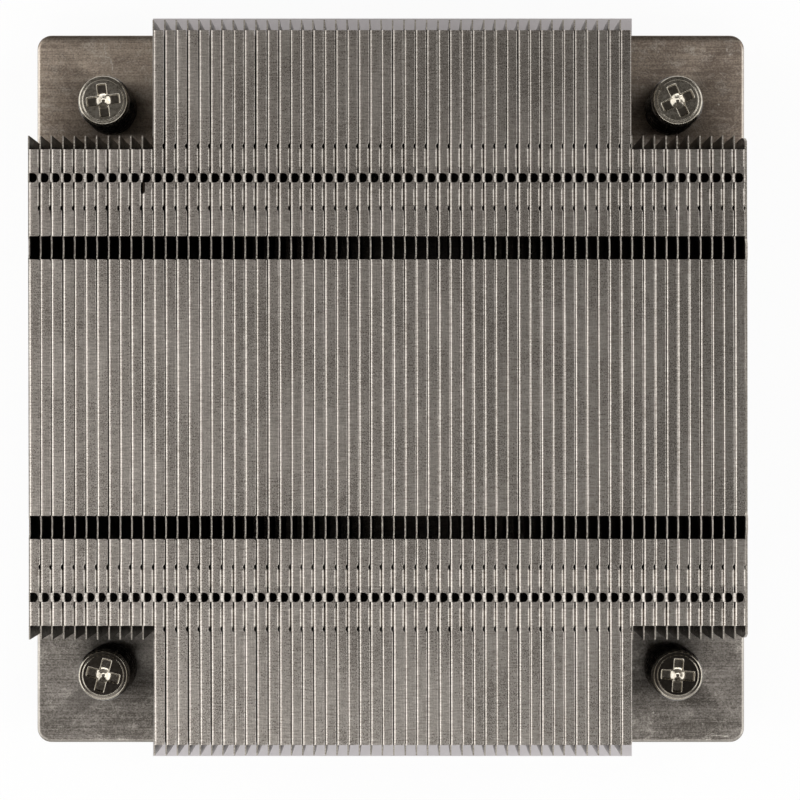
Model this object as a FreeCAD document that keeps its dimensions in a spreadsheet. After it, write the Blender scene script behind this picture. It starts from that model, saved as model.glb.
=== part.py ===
import FreeCAD, Part
import Sketcher
import math
import os

# Passive heat sink for a server processor, 1U height: a flat base plate, 64 folded sheet fins soldered to it
# and hooked to each other along their top folds, and four captive spring screws at the corners.
# Millimetres. The origin is the centre of the contact face under the plate, +Z is up, and the air flows along Y.

document = FreeCAD.newDocument("heat_sink")

# Driving dimensions: name, value, what it is
dimensions = [
    ("plate_length", 95, "base plate along Y"),
    ("plate_width", 95, "base plate along X"),
    ("plate_thickness", 4.5, "base plate"),
    ("plate_corner", 1.9, "radius of the plate's corners"),
    ("plate_edge", 0.4, "chamfer round the plate's top face"),
    ("short_fins", 11, "fins on each side that stop short of the screws"),
    ("long_fins", 42, "fins in the middle that run the plate's length"),
    ("fin_pitch", 1.47, "from one fin to the next"),
    ("fin_sheet", 0.3, "thickness of the fin sheet"),
    ("fin_height", 22.5, "from the plate to the top of the fins"),
    ("fin_bend", 0.3, "bevel that stands for the outer radius of a fin's top fold"),
    ("seam_gap", 0.15, "from a flange's free edge to the next fin"),
    ("stack_shift", -0.35, "middle of the fin stack from the middle of the plate, along X"),
    ("fin_inset", 0.05, "from a long fin's end to the plate's end"),
    ("short_fin", 65, "length of a short fin"),
    ("flange_setback", 1.45, "a top flange ends this far before its fin"),
    ("slot_place", 18.1, "middle of each slot across the fins from the middle of the stack"),
    ("slot_width", 3, "slot across the fins"),
    ("slot_depth", 0.3, "slot across the fins, from their tops"),
    ("lock_place", 27.2, "middle of each row of interlocks from the middle of the stack"),
    ("lock_width", 1.26, "opening in a fold for the neighbour's lug, along the fold"),
    ("lock_reach", 0.9, "opening in a fold, from the fold's outer face"),
    ("lug_width", 1.06, "lug on a flange's free edge"),
    ("lug_reach", 0.3, "lug past the outer face of the next fin"),
    ("screw_spacing", 75, "between screw axes, along X and Y"),
    ("hole_clearance", 0.25, "between a screw's shank and its hole, on the radius"),
    ("shank_diameter", 4, "smooth shank of a screw"),
    ("head_diameter", 6.5, "screw head"),
    ("head_height", 2.2, "screw head"),
    ("head_rim", 1.85, "straight part of the head's side"),
    ("head_face", 5.8, "flat top of the head"),
    ("recess_span", 4.4, "cross recess, from tip to tip"),
    ("recess_arm", 1.25, "width of a recess arm"),
    ("recess_depth", 1.6, "cross recess"),
    ("turn_back_left", 7, "turn of this screw's recess, in degrees"),
    ("turn_back_right", 25, "turn of this screw's recess, in degrees"),
    ("turn_front_left", -15, "turn of this screw's recess, in degrees"),
    ("turn_front_right", -4, "turn of this screw's recess, in degrees"),
    ("spring_length", 14.1, "from the plate to the underside of the head"),
    ("spring_diameter", 7, "outer diameter of a spring"),
    ("spring_wire", 0.9, "spring wire"),
    ("spring_turns", 6, "turns of a spring, with the closed turn at each end"),
    ("ring_thickness", 0.6, "retaining ring on a screw"),
    ("ring_diameter", 6.3, "retaining ring"),
    ("ring_mouth", 2.2, "open side of a retaining ring"),
    ("ring_play", 0.05, "between a retaining ring and the neck that it sits on, on the radius"),
    ("ring_sink", 0.8, "depth of the counterbore under the plate that a ring rises into"),
    ("ring_clearance", 0.6, "between a ring and the side of its counterbore, on the radius"),
    ("neck_diameter", 2.3, "neck between shank and thread that holds the ring"),
    ("neck_play", 0.1, "length of the neck beyond the ring's thickness"),
    ("thread_diameter", 3, "thread, at its crests"),
    ("thread_length", 5, "thread below the neck"),
]

sheet = document.addObject("Spreadsheet::Sheet", "Dimensions")
for row, (name, value, meaning) in enumerate(dimensions, start=1):
    sheet.set(f"A{row}", name)
    sheet.set(f"B{row}", str(value))
    sheet.set(f"C{row}", meaning)
    sheet.setAlias(f"B{row}", name)
document.recompute()

# Places that follow from the driving dimensions, as words of an expression
flangeEdge = "( fin_pitch - seam_gap )"
ringBase = "( ring_sink - ring_thickness )"
headBase = "( plate_thickness + spring_length )"
headTop = "( plate_thickness + spring_length + head_height )"
longFin = "( plate_length - 2 * fin_inset )"
stackStart = "stack_shift - ( 2 * short_fins + long_fins - 1 ) * fin_pitch / 2 - fin_sheet / 2"
margin = "1"    # a cutting outline reaches this far past what it cuts

aliases = {name for name, value, meaning in dimensions}


# The words of an expression, with each dimension's name pointing at its cell
def onSheet(words):
    return " ".join(f"Dimensions.{word}" if word in aliases else word for word in words.split())


def size(name):
    return float(sheet.get(name))


def newBody(label):
    body = document.addObject("PartDesign::Body", label)
    body.Label = label
    return body


# A sketch on one of the body's own planes, raised by an expression where one is given
def newSketch(body, name, plane, raised=None):
    sketch = body.newObject("Sketcher::SketchObject", f"{body.Label}_{name}")
    origin = [item for item in body.Origin.OriginFeatures if item.Role == plane][0]
    sketch.AttachmentSupport = [(origin, "")]
    sketch.MapMode = "FlatFace"
    if raised:
        sketch.setExpression("AttachmentOffset.Base.z", onSheet(raised))
    return sketch


# A constraint whose value stays bound to the sheet
def constrain(sketch, words, *constraint):
    value = sketch.evalExpression(onSheet(words))
    index = sketch.addConstraint(Sketcher.Constraint(*constraint, value))
    sketch.setExpression(f"Constraints[{index}]", onSheet(words))


def pin(sketch, piece, point, x, y):
    constrain(sketch, x, "DistanceX", -1, 1, piece, point)
    constrain(sketch, y, "DistanceY", -1, 1, piece, point)


# A closed outline, drawn to the left round its corners (x, y). A third word is the radius of an arc from that corner
# to the next, which bulges outwards.
def outline(sketch, corners):
    first = sketch.GeometryCount
    places = [
        FreeCAD.Vector(*[sketch.evalExpression(onSheet(words)) for words in corner[:2]], 0) for corner in corners
    ]
    for index, corner in enumerate(corners):
        start = places[index]
        end = places[(index + 1) % len(corners)]
        if len(corner) == 3:
            radius = sketch.evalExpression(onSheet(corner[2]))
            chord = end - start
            outwards = FreeCAD.Vector(chord.y, -chord.x, 0).normalize()
            bulge = radius - math.sqrt(max(radius**2 - chord.Length**2 / 4, 0))
            sketch.addGeometry(Part.Arc(start, (start + end) * 0.5 + outwards * bulge, end))
        else:
            sketch.addGeometry(Part.LineSegment(start, end))
    for index, corner in enumerate(corners):
        following = (index + 1) % len(corners)
        pin(sketch, first + index, 1, corner[0], corner[1])
        sketch.addConstraint(Sketcher.Constraint("Coincident", first + index, 2, first + following, 1))
        if len(corner) == 3:
            constrain(sketch, corner[2], "Radius", first + index)


def rectangle(sketch, left, right, low, high):
    outline(sketch, [(left, low), (right, low), (right, high), (left, high)])


def circle(sketch, x, y, diameter):
    radius = sketch.evalExpression(onSheet(diameter)) / 2
    middle = FreeCAD.Vector(sketch.evalExpression(onSheet(x)), sketch.evalExpression(onSheet(y)), 0)
    ring = sketch.addGeometry(Part.Circle(middle, FreeCAD.Vector(0, 0, 1), radius))
    pin(sketch, ring, 3, x, y)
    constrain(sketch, diameter, "Diameter", ring)


def pad(sketch, length, symmetric=False, down=False):
    body = sketch.getParentGeoFeatureGroup()
    feature = body.newObject("PartDesign::Pad", f"{sketch.Label}_pad")
    feature.Profile = sketch
    feature.setExpression("Length", onSheet(length))
    feature.SideType = "Symmetric" if symmetric else "One side"
    feature.Reversed = down
    return feature


# Without a depth the pocket goes through everything, both ways from its sketch
def pocket(sketch, depth=None):
    body = sketch.getParentGeoFeatureGroup()
    feature = body.newObject("PartDesign::Pocket", f"{sketch.Label}_pocket")
    feature.Profile = sketch
    if depth:
        feature.setExpression("Length", onSheet(depth))
    else:
        feature.Type = "ThroughAll"
        feature.SideType = "Symmetric"
    return feature


# The four corners of the screw pattern, by the side of the plate that each is on
corners = {
    "back_left": ("-1", "1"),
    "back_right": ("1", "1"),
    "front_left": ("-1", "-1"),
    "front_right": ("1", "-1"),
}


def plate():
    body = newBody("base_plate")
    blank = newSketch(body, "blank", "XY_Plane")
    side = "plate_width / 2"
    end = "plate_length / 2"
    outline(blank, [
        (f"{side} - plate_corner", f"-1 * {end}", "plate_corner"),
        (side, f"-1 * {end} + plate_corner"),
        (side, f"{end} - plate_corner", "plate_corner"),
        (f"{side} - plate_corner", end),
        (f"-1 * {side} + plate_corner", end, "plate_corner"),
        (f"-1 * {side}", f"{end} - plate_corner"),
        (f"-1 * {side}", f"-1 * {end} + plate_corner", "plate_corner"),
        (f"-1 * {side} + plate_corner", f"-1 * {end}"),
    ])
    slab = pad(blank, "plate_thickness")
    document.recompute()
    tops = [
        f"Face{number}"
        for number, face in enumerate(slab.Shape.Faces, start=1)
        if face.normalAt(0, 0).z > 0.99
    ]
    edge = body.newObject("PartDesign::Chamfer", "base_plate_edge")
    edge.Base = (slab, tops)
    edge.setExpression("Size", onSheet("plate_edge"))
    holes = newSketch(body, "holes", "XY_Plane")
    seats = newSketch(body, "seats", "XY_Plane", "ring_sink")
    for alongX, alongY in corners.values():
        x = f"{alongX} * screw_spacing / 2"
        y = f"{alongY} * screw_spacing / 2"
        circle(holes, x, y, "shank_diameter + 2 * hole_clearance")
        circle(seats, x, y, "ring_diameter + 2 * ring_clearance")
    pocket(holes)
    pocket(seats, f"ring_sink + {margin}")
    return body


# One fin, upright, with its outer face on the YZ plane and its foot on the XY plane. A flange is folded towards the
# next fin at its foot, where it is soldered down, and at its top, where it stops short of the fin's ends.
def fin(label, length, folded):
    body = newBody(label)
    section = newSketch(body, "section", "XZ_Plane")
    if folded:
        outline(section, [
            ("0", "0"),
            (flangeEdge, "0"),
            (flangeEdge, "fin_sheet"),
            ("fin_sheet", "fin_sheet"),
            ("fin_sheet", "fin_height - fin_sheet"),
            (flangeEdge, "fin_height - fin_sheet"),
            (flangeEdge, "fin_height"),
            ("fin_bend", "fin_height"),
            ("0", "fin_height - fin_bend"),
        ])
    else:
        rectangle(section, "0", "fin_sheet", "0", "fin_height")
    pad(section, length, symmetric=True)

    if folded:
        ends = newSketch(body, "ends", "XY_Plane", "fin_height")
        clear = f"{length} / 2 - flange_setback"
        beyond = f"{length} / 2 + {margin}"
        rectangle(ends, "fin_sheet", f"{flangeEdge} + {margin}", clear, beyond)
        rectangle(ends, "fin_sheet", f"{flangeEdge} + {margin}", f"-1 * ( {beyond} )", f"-1 * ( {clear} )")
        pocket(ends, "fin_sheet")

    slots = newSketch(body, "slots", "YZ_Plane")
    for way in ("1", "-1"):
        middle = f"{way} * slot_place"
        rectangle(
            slots,
            f"{middle} - slot_width / 2",
            f"{middle} + slot_width / 2",
            "fin_height - slot_depth",
            f"fin_height + {margin}",
        )
    pocket(slots)

    # openings in the top fold, each for the lug of the fin before
    openings = newSketch(body, "openings", "XY_Plane", "fin_height")
    for way in ("1", "-1"):
        middle = f"{way} * lock_place"
        rectangle(
            openings,
            f"-1 * {margin}",
            "lock_reach",
            f"{middle} - lock_width / 2",
            f"{middle} + lock_width / 2",
        )
    pocket(openings, "fin_sheet")

    if folded:
        lugs = newSketch(body, "lugs", "XY_Plane", "fin_height")
        for way in ("1", "-1"):
            middle = f"{way} * lock_place"
            rectangle(
                lugs,
                f"{flangeEdge} - fin_sheet",
                "fin_pitch + lug_reach",
                f"{middle} - lug_width / 2",
                f"{middle} + lug_width / 2",
            )
        pad(lugs, "fin_sheet", down=True)
    return body


# A node of one or two neighbouring fins, each a copy of its master moved along the stack
def finGroup(label, members):
    copies = []
    for number, master in members:
        copy = document.addObject("App::Link", f"{label}_fin_{number}")
        copy.LinkedObject = master
        copy.setExpression("Placement.Base.x", onSheet(f"{stackStart} + {number} * fin_pitch"))
        copy.setExpression("Placement.Base.z", onSheet("plate_thickness"))
        copies.append(copy)
    group = document.addObject("Part::Compound", label)
    group.Label = label
    group.Links = copies
    return group


def fins():
    longMaster = fin("long_fin_master", longFin, folded=True)
    shortMaster = fin("short_fin_master", "short_fin", folded=True)
    endMaster = fin("end_fin_master", "short_fin", folded=False)
    side = round(size("short_fins"))
    middle = round(size("long_fins"))
    total = 2 * side + middle
    groups = [finGroup("fin_first", [(0, shortMaster)])]
    runs = [
        ("fins_left", shortMaster, 1, side),
        ("fins_long", longMaster, side, side + middle),
        ("fins_right", shortMaster, side + middle, total - 1),
    ]
    for name, master, start, stop in runs:
        for order, number in enumerate(range(start, stop, 2), start=1):
            members = [(each, master) for each in range(number, min(number + 2, stop))]
            groups.append(finGroup(f"{name}_{order:02d}", members))
    groups.append(finGroup("fin_end", [(total - 1, endMaster)]))
    return groups


# A copy of a master on each screw axis
def onEachAxis(name, master, turned=False):
    copies = []
    for corner, (alongX, alongY) in corners.items():
        copy = document.addObject("App::Link", f"{name}_{corner}")
        copy.Label = f"{name}_{corner}"
        copy.LinkedObject = master
        if turned:
            copy.Placement.Rotation = FreeCAD.Rotation(FreeCAD.Vector(0, 0, 1), size(f"turn_{corner}"))
            copy.setExpression("Placement.Rotation.Angle", onSheet(f"turn_{corner} * 1 deg"))
        copy.setExpression("Placement.Base.x", onSheet(f"{alongX} * screw_spacing / 2"))
        copy.setExpression("Placement.Base.y", onSheet(f"{alongY} * screw_spacing / 2"))
        copies.append(copy)
    return copies


def cross(sketch, span, arm):
    tip = f"{span} / 2"
    side = f"{arm} / 2"
    outline(sketch, [
        (tip, f"-1 * {side}"),
        (tip, side),
        (side, side),
        (side, tip),
        (f"-1 * {side}", tip),
        (f"-1 * {side}", side),
        (f"-1 * {tip}", side),
        (f"-1 * {tip}", f"-1 * {side}"),
        (f"-1 * {side}", f"-1 * {side}"),
        (f"-1 * {side}", f"-1 * {tip}"),
        (side, f"-1 * {tip}"),
        (side, f"-1 * {side}"),
    ])


# Head with a cross recess, smooth shank, neck and thread. The spring pulls the screw up until the ring in its neck,
# carried by the top of the thread, meets the end of the counterbore under the plate.
def screws():
    body = newBody("screw_master")
    profile = newSketch(body, "profile", "XZ_Plane")
    tip = f"{ringBase} - thread_length"
    outline(profile, [
        ("0", tip),
        ("thread_diameter / 2", tip),
        ("thread_diameter / 2", ringBase),
        ("neck_diameter / 2", ringBase),
        ("neck_diameter / 2", "ring_sink + neck_play"),
        ("shank_diameter / 2", "ring_sink + neck_play"),
        ("shank_diameter / 2", headBase),
        ("head_diameter / 2", headBase),
        ("head_diameter / 2", f"{headBase} + head_rim"),
        ("head_face / 2", headTop),
        ("0", headTop),
    ])
    turned = body.newObject("PartDesign::Revolution", "screw_turned")
    turned.Profile = profile
    turned.ReferenceAxis = (profile, ["V_Axis"])
    turned.Angle = 360
    recess = newSketch(body, "recess", "XY_Plane", headTop)
    cross(recess, "recess_span", "recess_arm")
    pocket(recess, "recess_depth")
    return onEachAxis("screw", body, turned=True)


# A retaining ring, pushed over the neck from its open side
def rings():
    body = newBody("ring_master")
    disc = newSketch(body, "disc", "XY_Plane", ringBase)
    circle(disc, "0", "0", "ring_diameter")
    circle(disc, "0", "0", "neck_diameter + 2 * ring_play")
    pad(disc, "ring_thickness")
    mouth = newSketch(body, "mouth", "XY_Plane")
    rectangle(mouth, "-1 * ring_mouth / 2", "ring_mouth / 2", f"-1 * ( ring_diameter / 2 + {margin} )", "0")
    pocket(mouth)
    return onEachAxis("ring", body)


# A compression spring of round wire between the plate and the head, with a closed turn at each end. Its wire follows
# a line of short straight runs, and its section is six-sided, to keep it light.
def springs():
    wire = size("spring_wire")
    turns = size("spring_turns")
    low = size("plate_thickness") + wire / 2
    high = size("plate_thickness") + size("spring_length") - wire / 2
    radius = (size("spring_diameter") - wire) / 2
    closedTurns = 1
    closedRise = 1.05 * wire * closedTurns
    openTurns = turns - 2 * closedTurns
    openRise = high - low - 2 * closedRise
    runsPerTurn = 7
    sides = 5
    line = []
    for step in range(round(turns * runsPerTurn) + 1):
        turn = step / runsPerTurn
        rise = closedRise * min(turn / closedTurns, 1)
        rise += openRise * min(max((turn - closedTurns) / openTurns, 0), 1)
        rise += closedRise * max((turn - closedTurns - openTurns) / closedTurns, 0)
        angle = 2 * math.pi * turn
        line.append(FreeCAD.Vector(radius * math.cos(angle), radius * math.sin(angle), low + rise))
    round_wire = Part.makeCircle(wire / 2, line[0], line[1] - line[0])
    section = [round_wire.valueAt(2 * math.pi * side / sides) for side in range(sides)]
    sweep = Part.BRepOffsetAPI.MakePipeShell(Part.makePolygon(line))
    sweep.setTransitionMode(1)
    sweep.add(Part.makePolygon(section + section[:1]))
    sweep.build()
    sweep.makeSolid()
    coil = document.addObject("Part::Feature", "spring_master")
    coil.Shape = sweep.shape()
    return onEachAxis("spring", coil)


subParts = [plate()]
subParts += fins()
subParts += screws()
subParts += rings()
subParts += springs()
document.recompute()

for item in document.Objects:
    if "Invalid" in item.State or "Error" in item.State:
        raise RuntimeError(f"{item.Label} did not build: {item.State}")
for subPart in subParts:
    if subPart.Shape.isNull() or not subPart.Shape.isValid():
        raise RuntimeError(f"{subPart.Label} has no valid shape")

os.makedirs("parts", exist_ok=True)
for subPart in subParts:
    subPart.Shape.exportStep(f"parts/{subPart.Label}.step")
print(len(subParts), "sub-parts,", sum(len(subPart.Shape.Solids) for subPart in subParts), "solids")
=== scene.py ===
import math

import bpy
import numpy as np
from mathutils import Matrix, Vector
from mathutils.geometry import delaunay_2d_cdt


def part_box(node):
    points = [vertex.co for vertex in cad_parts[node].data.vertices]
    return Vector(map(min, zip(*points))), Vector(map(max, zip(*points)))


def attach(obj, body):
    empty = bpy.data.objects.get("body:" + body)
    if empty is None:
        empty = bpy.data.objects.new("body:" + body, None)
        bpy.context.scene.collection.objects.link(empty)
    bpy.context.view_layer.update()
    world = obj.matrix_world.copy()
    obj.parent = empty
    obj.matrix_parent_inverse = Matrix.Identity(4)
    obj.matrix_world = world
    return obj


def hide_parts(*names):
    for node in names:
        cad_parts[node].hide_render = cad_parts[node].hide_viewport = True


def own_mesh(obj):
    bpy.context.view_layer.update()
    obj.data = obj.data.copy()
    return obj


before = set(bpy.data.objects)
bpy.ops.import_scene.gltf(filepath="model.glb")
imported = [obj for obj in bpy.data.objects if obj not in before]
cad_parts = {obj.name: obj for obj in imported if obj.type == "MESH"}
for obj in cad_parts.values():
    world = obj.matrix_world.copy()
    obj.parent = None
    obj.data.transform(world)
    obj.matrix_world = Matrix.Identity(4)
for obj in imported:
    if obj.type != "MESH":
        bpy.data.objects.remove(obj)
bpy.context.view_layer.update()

mm = 0.001
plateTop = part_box("base_plate")[1].z
headHeight = 2.2   # mm, of a screw
tiny = 1e-4        # mm, closer places count as the same
corners = ["back_left", "back_right", "front_left", "front_right"]


# Shared helpers

# A hex colour as it looks on a screen, turned into the linear values that the shaders work in
def linear(hexColour):
    parts = [int(hexColour[i:i + 2], 16) / 255 for i in (0, 2, 4)]
    return [c / 12.92 if c <= 0.04045 else ((c + 0.055) / 1.055) ** 2.4 for c in parts] + [1]


# Adds a node with its settings and gives one of its outputs. What goes into it, by name or in order, is a
# number, a hex colour or another node's output.
def addNode(tree, kind, inputs=(), output=0, **settings):
    node = tree.nodes.new("ShaderNode" + kind)
    for name, value in settings.items():
        setattr(node, name, value)
    for name, value in inputs.items() if isinstance(inputs, dict) else enumerate(inputs):
        if isinstance(value, bpy.types.NodeSocket):
            tree.links.new(value, node.inputs[name])
        else:
            node.inputs[name].default_value = linear(value) if isinstance(value, str) else value
    return node.outputs[output] if node.outputs else None


# A new material and the empty tree to build it in
def newMaterial(name):
    material = bpy.data.materials.new(name)
    material.use_nodes = True
    material.node_tree.nodes.clear()
    return material, material.node_tree


# Ends a metal: its colour, roughness and, where it has one, the height of its grain
def finishMetal(tree, colour, rough, height=None, strength=0):
    inputs = {"Base Color": colour, "Roughness": rough, "Metallic": 1}
    if height is not None:
        bump = {"Strength": strength, "Distance": 0.01 * mm, "Height": height}
        inputs["Normal"] = addNode(tree, "Bump", bump)
    addNode(tree, "OutputMaterial", {"Surface": addNode(tree, "BsdfPrincipled", inputs)})


# The object's own coordinates, turned, then stretched so that one unit is the given size in millimetres on
# each axis
def patternSpace(tree, sizes, turn=0):
    place = addNode(tree, "TexCoord", output="Object")
    turned = addNode(tree, "Mapping", {"Vector": place, "Rotation": (0, 0, turn)})
    return addNode(tree, "Mapping", {"Vector": turned, "Scale": [1 / (size * mm) for size in sizes]})


# Noise of a real size in millimetres, most of it between 0.3 and 0.7
def grain(tree, sizes, detail=2, roughness=0.5, turn=0):
    space = patternSpace(tree, sizes, turn)
    return addNode(tree, "TexNoise", {"Vector": space, "Scale": 1, "Detail": detail, "Roughness": roughness})


# The sum of several grains, each carried from 0.3 .. 0.7 to its own range
def sumOfGrains(tree, parts):
    total = 0
    for pattern, low, high in parts:
        share = addNode(tree, "MapRange", [pattern, 0.3, 0.7, low, high])
        total = addNode(tree, "Math", [total, share], operation="ADD")
    return total


# A colour with others laid over it, each through its own mask
def layColours(tree, colour, layers):
    for mask, over in layers:
        colour = addNode(tree, "Mix", {0: mask, 6: colour, 7: over}, 2, data_type="RGBA")
    return colour


# A mask of soft-edged ellipses on top of the object, each with its centre and half axes in millimetres: it
# falls off round 1 of the square root of (dx / wide)^2 + (dy / high)^2
def spots(tree, ellipses, softness):
    place = addNode(tree, "TexCoord", output="Object")
    mask = 0
    for (x, y), (wide, high) in ellipses:
        shift, scale = (-x / wide, -y / high, 0), (1 / (wide * mm), 1 / (high * mm), 0)
        local = addNode(tree, "Mapping", {"Vector": place, "Location": shift, "Scale": scale})
        away = addNode(tree, "VectorMath", [local], "Value", operation="LENGTH")
        spot = addNode(tree, "MapRange", [away, 1 - softness, 1 + softness, 1, 0])
        mask = addNode(tree, "Math", [mask, spot], operation="MAXIMUM")
    return mask


# The faces between the points of a grid of rows and columns, whose rows may close on themselves
def gridFaces(rows, columns, closed=False):
    index = np.arange(rows * columns).reshape(rows, columns)
    if closed:
        index = np.hstack([index, index[:, :1]])
    return np.stack([index[:-1, :-1], index[1:, :-1], index[1:, 1:], index[:-1, 1:]], axis=-1)


# The faces of a closed tube: a grid whose rows are rings, with a face over its first and its last ring
def tubeFaces(rows, columns, inward=False):
    walls = gridFaces(rows, columns, closed=True).reshape(-1, 4)
    first = np.arange(columns)[None]
    last = np.arange(rows * columns - 1, (rows - 1) * columns - 1, -1)[None]
    return [walls[:, ::-1] if inward else walls, first, last]


# Flat points lifted to a height of their own or to one for all
def atHeight(points, z):
    return np.column_stack([points, np.full(len(points), z)])


# A piece of the object from its points and blocks of faces: its mesh has no unused points, is shaded smooth
# up to an angle, and rides on its body in place of its nodes
def newPiece(name, points, faces, materials, body, nodes, sheet=None, smoothAngle=40):
    used, loops = np.unique(np.concatenate([block.ravel() for block in faces]), return_inverse=True)
    sizes = np.concatenate([np.full(len(block), block.shape[1]) for block in faces])
    mesh = bpy.data.meshes.new(name)
    mesh.vertices.add(len(used))
    mesh.vertices.foreach_set("co", points[used].ravel())
    mesh.loops.add(len(loops))
    mesh.loops.foreach_set("vertex_index", loops)
    mesh.polygons.add(len(sizes))
    mesh.polygons.foreach_set("loop_start", np.cumsum(sizes) - sizes)
    mesh.update(calc_edges=True)
    for material in materials:
        mesh.materials.append(material)
    piece = bpy.data.objects.new(name, mesh)
    bpy.context.scene.collection.objects.link(piece)
    if sheet:
        wall = piece.modifiers.new("Sheet", "SOLIDIFY")
        wall.thickness = sheet
        wall.offset = -1
        wall.use_even_offset = True
        wall.material_offset_rim = 1
        solid = bpy.data.meshes.new_from_object(piece.evaluated_get(bpy.context.evaluated_depsgraph_get()))
        piece.modifiers.clear()
        piece.data = solid
    piece.data.shade_smooth()
    piece.data.set_sharp_from_angle(angle=math.radians(smoothAngle))
    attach(piece, body)
    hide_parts(*nodes)
    return piece


# Fins: thin sheet folded at its foot and its top, nickel plated, hooked into the next fin by punched lugs

fins = {
    "sheet": 0.18,          # mm, all sizes here
    "footFold": 0.34,
    "topFold": 0.4,         # outer radius
    "stackShift": 0.03,     # along X, from where the solids stand
    "stackShrink": 0.00105,
    "endSheet": 0.3,        # thickness of the upright sheet that ends the stack
    "endRound": 0.8,        # its top corners are eased by this, over this height
    "endRoundHeight": 5,
    "flangeEdge": 1.52,     # free edge of a top flange, from its fin's outer face
    "shortSetback": 1.79,   # a top flange ends this far before its fin
    "longSetback": 1.37,
    "cornerRound": 0.2,
    "slotPlace": 18.03,
    "slotWidth": 3.0,
    "slotShift": 0.06,      # the bare web edge in a slot leans in by this, and at its ends by this more
    "slotLean": 0.03,
    "lockPlace": 27.05,
    "lockHalf": 0.61,       # half width of the opening, which ends in half an ellipse
    "lockCentre": 0.72,
    "lockReach": 0.5,
    "flangeRow": 0.75,      # first line of points along the top flange where there is no opening
    "neckHalf": 0.67,       # half width of a lug's neck
    "lugHalf": 0.56,
    "lugStart": (1.3, 1.25),    # a lug curves down from here, in the back and in the front row
    # the curve of a lug, back and front: way along X and drop
    "lugCurves": (((0, 0.07, 0.2, 0.34, 0.45, 0.5), (0, 0.014, 0.072, 0.15, 0.27, 0.45)),
                  ((0, 0.08, 0.24, 0.42, 0.54, 0.6), (0, 0.014, 0.078, 0.178, 0.29, 0.5))),
    "slitEnd": 1.42,        # beside a lug the edge is cut back up to here, from the lug's middle
    "slitEdge": 1.36,
    "tabStart": 23.5,       # a bent lip runs along the free edge from here
    "tabEnd": 30.78,
    "notch": 0.72,          # length and depth of the cut between the lip and the plain edge
    "notchDepth": 0.22,
    # how the straight edge is rolled over: share of the way from the flange to the edge, and drop
    "roll": ((0.3, 0.5, 0.7, 0.86, 0.96, 1.0), (0, 0.002, 0.007, 0.015, 0.028, 0.055)),
    "lipStart": 1.17,
    "lipRound": 0.34,
    "lipTurn": (18, 36, 54, 72, 84, 84),    # degrees along its arc
    "lipDepth": 0.5,
    "skew": -0.0016,        # the stack is soldered on a hair out of square
    "edgeSpread": 0.02,     # how much the fins differ from each other
    "edgeLimits": (-0.035, 0.015),
    "tiltSpread": 0.012,
    "tiltLimit": 0.022,
    "leanSpread": 0.018,
    "leanLimit": 0.03,
    "edgeWave": 0.01,       # height of the waves in an edge and in a whole fin
    "sway": 0.012,
    "taper": 0.05,          # the edge stands back by this away from the middle
    "seed": 64,
}


# Nickel plating on rolled sheet: satin, warm grey, with a fine grain, fine streaks across the fin, faint
# blotches and a slightly different tone on each fin. Painted shade makes it paler to the left where it lies
# flat and darker to the left on its folds, darkens its folds towards the back and darkens it deep between the
# fins. One dark drop of flux ran out of an opening.
def nickelSheet(pitch, first):
    material, tree = newMaterial("satin_nickel_on_rolled_sheet")
    fine = grain(tree, (0.17, 0.2, 0.2), detail=1)
    rolled = grain(tree, (0.12, 5, 1), detail=2, roughness=0.6)
    cross = grain(tree, (1.4, 0.2, 1), detail=1)
    blotch = grain(tree, (7, 12, 9), detail=3, roughness=0.6)
    grains = [(fine, -0.25, 0.25), (blotch, 0.39, 0.54), (rolled, -0.2, 0.2), (cross, -0.3, 0.3)]
    tone = sumOfGrains(tree, grains)

    place = addNode(tree, "TexCoord", output="Object")
    x, y, z = [addNode(tree, "SeparateXYZ", [place], axis) for axis in "XYZ"]
    fromFirst = addNode(tree, "Math", [x, first], operation="SUBTRACT")
    number = addNode(tree, "Math", [fromFirst, pitch], operation="DIVIDE")
    number = addNode(tree, "Math", [number], operation="FLOOR")
    own = addNode(tree, "TexWhiteNoise", {"W": number}, "Value", noise_dimensions="1D")
    own = addNode(tree, "MapRange", [own, 0, 1, -0.09, 0.09])
    tone = addNode(tree, "Math", [tone, own], operation="ADD")

    normal = addNode(tree, "NewGeometry", output="Normal")
    up = addNode(tree, "SeparateXYZ", [normal], "Z")
    flat = addNode(tree, "MapRange", [up, 0.9, 0.985, 0, 1])
    # painted shade: where the sheet lies flat it darkens to the right, and on its folds to the left
    flatSideShade = addNode(tree, "MapRange", [x, -0.045, 0.045, 0, 1])
    foldSideShade = addNode(tree, "MapRange", [x, -0.045, 0.045, 1, 0.5])
    side = addNode(tree, "Math", [flatSideShade, foldSideShade], operation="SUBTRACT")
    side = addNode(tree, "Math", [side, flat, foldSideShade], operation="MULTIPLY_ADD")
    dark = layColours(tree, "a69e96", [(side, "827c75")])
    light = layColours(tree, "e8e1d9", [(side, "b6b1aa")])

    # painted shade: the folds darken towards the back
    sloping = addNode(tree, "Math", [1, flat], operation="SUBTRACT")
    notUpright = addNode(tree, "MapRange", [up, 0.2, 0.5, 0, 1])
    fold = addNode(tree, "Math", [sloping, notUpright], operation="MULTIPLY")
    atBack = addNode(tree, "MapRange", [y, 0.008, 0.042, 0, 0.58])
    foldShadeAtBack = addNode(tree, "Math", [fold, atBack], operation="MULTIPLY")
    # painted shade deep between the fins, lower down
    shadeBetweenFins = addNode(tree, "MapRange", [z, 0.0235, 0.0268, 0.5, 0])
    flux = spots(tree, [((-31.93, 25.5), (0.3, 0.55)), ((-31.82, 26.15), (0.2, 0.95))], 0.15)
    colour = layColours(tree, dark, [(tone, light), (foldShadeAtBack, "4f4b46"), (shadeBetweenFins, "1c1a18"), (flux, "15110d")])

    rough = sumOfGrains(tree, [(fine, 0.26, 0.32), (blotch, -0.02, 0.03)])
    height = addNode(tree, "Math", [rolled, 0.6, fine], operation="MULTIPLY_ADD")
    finishMetal(tree, colour, rough, height, 0.08)
    return material


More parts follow.
